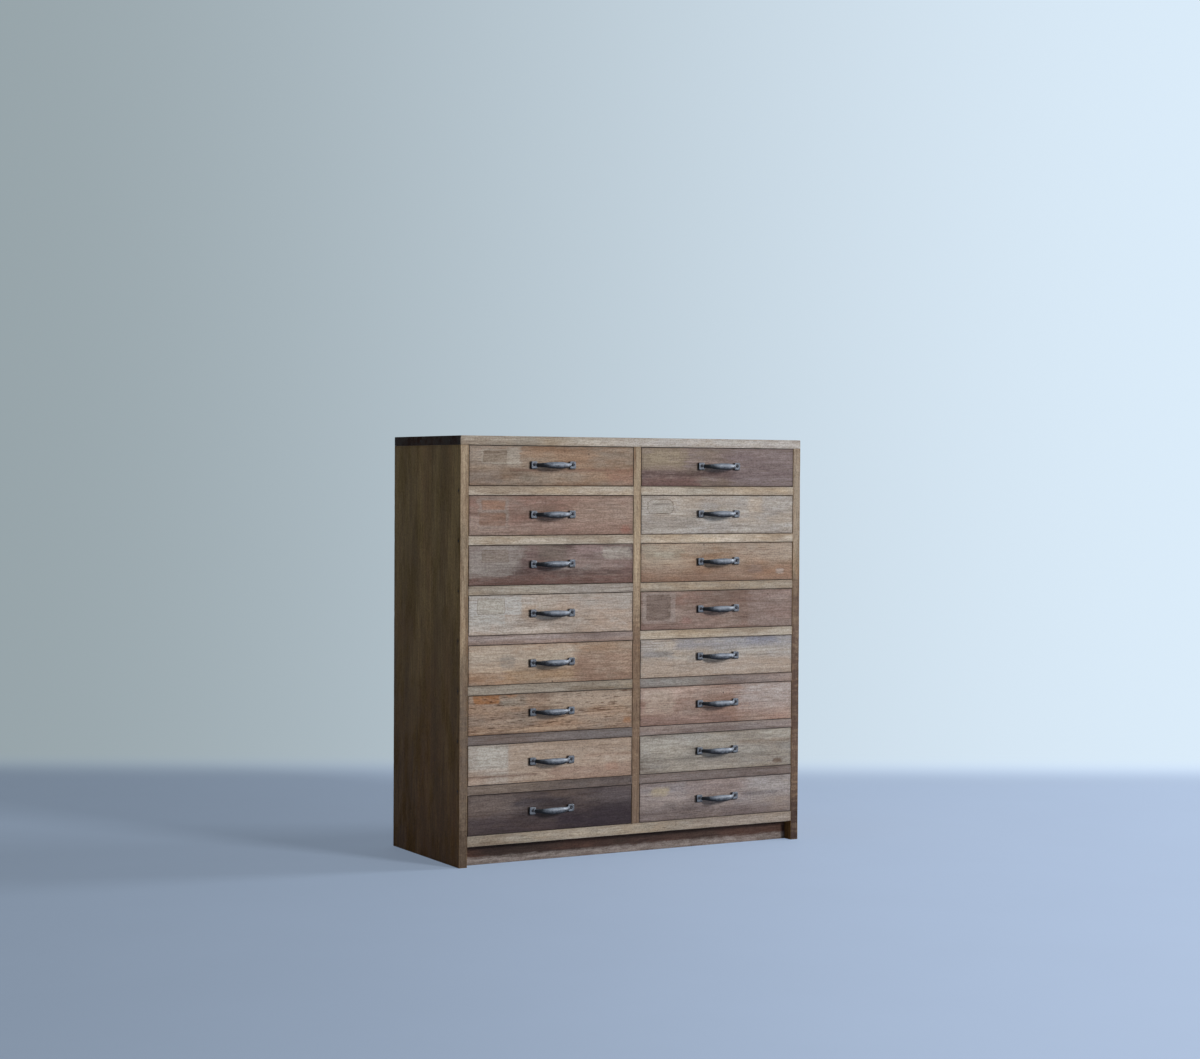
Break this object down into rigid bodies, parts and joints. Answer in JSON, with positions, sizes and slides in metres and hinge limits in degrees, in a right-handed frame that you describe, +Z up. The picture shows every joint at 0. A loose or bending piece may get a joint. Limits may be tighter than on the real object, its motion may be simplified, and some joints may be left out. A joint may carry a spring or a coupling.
{
  "type": "document cabinet",
  "caption": "Floor-standing wooden document cabinet with side-by-side columns of shallow inset drawers, cast-iron bow pulls and a recessed plinth.",
  "frame": {"origin": "on the floor, in the middle of the space that the cabinet and its pulls take", "axes": "+Z up, +X to the right as seen from the front, +Y to the back, so the drawers face -Y"},
  "size_m": [0.8766, 0.37, 0.93],
  "materials": {
    "side_board": "bare, worn and waxed by handling",
    "top_board": "bare, worn and waxed by handling",
    "frame_edge": "bare, worn and waxed by handling",
    "back_board": "bare, worn and waxed by handling",
    "plinth_board": "bare, worn and waxed by handling",
    "inner_wood": "bare, worn and waxed by handling",
    "drawer_wood": "bare, worn and waxed by handling",
    "front_honey": "bare, worn and waxed by handling",
    "front_rose": "bare, worn and waxed by handling",
    "front_plum": "bare, worn and waxed by handling",
    "front_pale": "bare, worn and waxed by handling",
    "front_flecked": "bare, worn and waxed by handling",
    "front_dark": "bare, worn and waxed by handling",
    "front_russet": "bare, worn and waxed by handling",
    "front_grey": "bare, worn and waxed by handling",
    "front_olive": "bare, worn and waxed by handling",
    "front_dusk": "bare, worn and waxed by handling",
    "iron": "dark, rubbed bright on the grip",
    "steel_nail": "dark rusted heads"
  },
  "bodies": {
    "cabinet": {"left_side_panel": "side_board", "right_side_panel": "side_board", "top_board": "top_board", "bottom_board": "frame_edge", "centre_divider": "frame_edge", "back_panel": "back_board", "front_plinth_board": "plinth_board", "rear_plinth_board": "plinth_board", "front_rails": "frame_edge", "drawer_runners": "inner_wood", "drawer_stops": "inner_wood", "carcass_nails": "steel_nail"},
    "drawer_left_1": {"drawer_left_1_front": "front_honey", "drawer_left_1_box": "drawer_wood", "drawer_left_1_pull": "iron"},
    "drawer_left_2": {"drawer_left_2_front": "front_rose", "drawer_left_2_box": "drawer_wood", "drawer_left_2_pull": "iron"},
    "drawer_left_3": {"drawer_left_3_front": "front_plum", "drawer_left_3_box": "drawer_wood", "drawer_left_3_pull": "iron"},
    "drawer_left_4": {"drawer_left_4_front": "front_pale", "drawer_left_4_box": "drawer_wood", "drawer_left_4_pull": "iron"},
    "drawer_left_5": {"drawer_left_5_front": "front_honey", "drawer_left_5_box": "drawer_wood", "drawer_left_5_pull": "iron"},
    "drawer_left_6": {"drawer_left_6_front": "front_flecked", "drawer_left_6_box": "drawer_wood", "drawer_left_6_pull": "iron"},
    "drawer_left_7": {"drawer_left_7_front": "front_pale", "drawer_left_7_box": "drawer_wood", "drawer_left_7_pull": "iron"},
    "drawer_left_8": {"drawer_left_8_front": "front_dark", "drawer_left_8_box": "drawer_wood", "drawer_left_8_pull": "iron"},
    "drawer_right_1": {"drawer_right_1_front": "front_russet", "drawer_right_1_box": "drawer_wood", "drawer_right_1_pull": "iron"},
    "drawer_right_2": {"drawer_right_2_front": "front_grey", "drawer_right_2_box": "drawer_wood", "drawer_right_2_pull": "iron"},
    "drawer_right_3": {"drawer_right_3_front": "front_honey", "drawer_right_3_box": "drawer_wood", "drawer_right_3_pull": "iron"},
    "drawer_right_4": {"drawer_right_4_front": "front_rose", "drawer_right_4_box": "drawer_wood", "drawer_right_4_pull": "iron"},
    "drawer_right_5": {"drawer_right_5_front": "front_grey", "drawer_right_5_box": "drawer_wood", "drawer_right_5_pull": "iron"},
    "drawer_right_6": {"drawer_right_6_front": "front_rose", "drawer_right_6_box": "drawer_wood", "drawer_right_6_pull": "iron"},
    "drawer_right_7": {"drawer_right_7_front": "front_olive", "drawer_right_7_box": "drawer_wood", "drawer_right_7_pull": "iron"},
    "drawer_right_8": {"drawer_right_8_front": "front_dusk", "drawer_right_8_box": "drawer_wood", "drawer_right_8_pull": "iron"}
  },
  "joints": [
    {"name": "drawer_left_1_slide", "type": "slide", "parent": "cabinet", "child": "drawer_left_1", "axis": [0, -1, 0], "range_m": [0, 0.24]},
    {"name": "drawer_left_2_slide", "type": "slide", "parent": "cabinet", "child": "drawer_left_2", "axis": [0, -1, 0], "range_m": [0, 0.24]},
    {"name": "drawer_left_3_slide", "type": "slide", "parent": "cabinet", "child": "drawer_left_3", "axis": [0, -1, 0], "range_m": [0, 0.24]},
    {"name": "drawer_left_4_slide", "type": "slide", "parent": "cabinet", "child": "drawer_left_4", "axis": [0, -1, 0], "range_m": [0, 0.24]},
    {"name": "drawer_left_5_slide", "type": "slide", "parent": "cabinet", "child": "drawer_left_5", "axis": [0, -1, 0], "range_m": [0, 0.24]},
    {"name": "drawer_left_6_slide", "type": "slide", "parent": "cabinet", "child": "drawer_left_6", "axis": [0, -1, 0], "range_m": [0, 0.24]},
    {"name": "drawer_left_7_slide", "type": "slide", "parent": "cabinet", "child": "drawer_left_7", "axis": [0, -1, 0], "range_m": [0, 0.24]},
    {"name": "drawer_left_8_slide", "type": "slide", "parent": "cabinet", "child": "drawer_left_8", "axis": [0, -1, 0], "range_m": [0, 0.24]},
    {"name": "drawer_right_1_slide", "type": "slide", "parent": "cabinet", "child": "drawer_right_1", "axis": [0, -1, 0], "range_m": [0, 0.24]},
    {"name": "drawer_right_2_slide", "type": "slide", "parent": "cabinet", "child": "drawer_right_2", "axis": [0, -1, 0], "range_m": [0, 0.24]},
    {"name": "drawer_right_3_slide", "type": "slide", "parent": "cabinet", "child": "drawer_right_3", "axis": [0, -1, 0], "range_m": [0, 0.24]},
    {"name": "drawer_right_4_slide", "type": "slide", "parent": "cabinet", "child": "drawer_right_4", "axis": [0, -1, 0], "range_m": [0, 0.24]},
    {"name": "drawer_right_5_slide", "type": "slide", "parent": "cabinet", "child": "drawer_right_5", "axis": [0, -1, 0], "range_m": [0, 0.24]},
    {"name": "drawer_right_6_slide", "type": "slide", "parent": "cabinet", "child": "drawer_right_6", "axis": [0, -1, 0], "range_m": [0, 0.24]},
    {"name": "drawer_right_7_slide", "type": "slide", "parent": "cabinet", "child": "drawer_right_7", "axis": [0, -1, 0], "range_m": [0, 0.24]},
    {"name": "drawer_right_8_slide", "type": "slide", "parent": "cabinet", "child": "drawer_right_8", "axis": [0, -1, 0], "range_m": [0, 0.24]}
  ]
}
